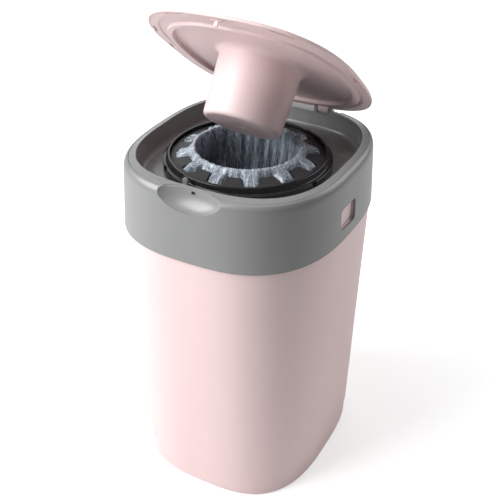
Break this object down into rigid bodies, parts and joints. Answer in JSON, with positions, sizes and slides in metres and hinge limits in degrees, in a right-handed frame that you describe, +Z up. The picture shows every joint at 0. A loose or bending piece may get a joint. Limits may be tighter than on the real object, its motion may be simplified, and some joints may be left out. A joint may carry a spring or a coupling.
{
  "type": "nappy bin",
  "caption": "Tapered nappy bin with a lift-off head, a turning film cassette, side release buttons and a domed hinged lid whose plunger cup pushes a nappy through the film.",
  "frame": {"origin": "centre of the flat base, on the floor", "axes": "+Z up, front with the thumb scoop towards -Y, hinge towards +Y, +X to the right seen from the front"},
  "size_m": [0.2426, 0.274, 0.5496],
  "materials": {
    "pink": "satin moulded",
    "pink_inside": "satin moulded",
    "grey": "satin moulded",
    "grey_inside": "satin moulded",
    "black": "polished",
    "charcoal": "satin moulded",
    "film": "thin translucent film",
    "rubber": "soft matt",
    "steel": "plain"
  },
  "bodies": {
    "base": {"tub": "pink"},
    "left_button": {"release_button_left": "pink"},
    "right_button": {"release_button_right": "pink"},
    "head": {"collar": "grey", "inner_tray": "grey_inside", "click_finger": "grey", "gripper_ring": "grey_inside", "gripper_fingers": "rubber", "cutter_housing": "charcoal", "cutter_blade": "steel", "hinge_pin_left": "steel", "hinge_pin_right": "steel"},
    "rotor": {"turntable": "black", "turntable_retainer": "charcoal", "cassette_tray": "charcoal", "cassette_cap": "charcoal", "film_pack": "film", "film_sleeve": "film"},
    "lid": {"lid_shell": "pink", "lid_panel": "pink_inside", "lid_catch": "pink_inside"}
  },
  "joints": [
    {"name": "head_lift", "type": "slide", "parent": "base", "child": "head", "axis": [0, 0, 1], "range_m": [0, 0.2]},
    {"name": "lid_hinge", "type": "hinge", "parent": "head", "child": "lid", "pos_m": [0, 0.1185, 0.3935], "axis": [-1, 0, 0], "range_deg": [-39, 50]},
    {"name": "turntable_spin", "type": "hinge", "parent": "head", "child": "rotor", "pos_m": [0, -0.0073, 0.37], "axis": [0, 0, 1], "continuous": true},
    {"name": "button_press_left", "type": "slide", "parent": "base", "child": "left_button", "axis": [1, 0, 0], "range_m": [0, 0.003], "stiffness_N_per_m": 500, "springref_m": -0.002},
    {"name": "button_press_right", "type": "slide", "parent": "base", "child": "right_button", "axis": [-1, 0, 0], "range_m": [0, 0.003], "stiffness_N_per_m": 500, "springref_m": -0.002}
  ]
}
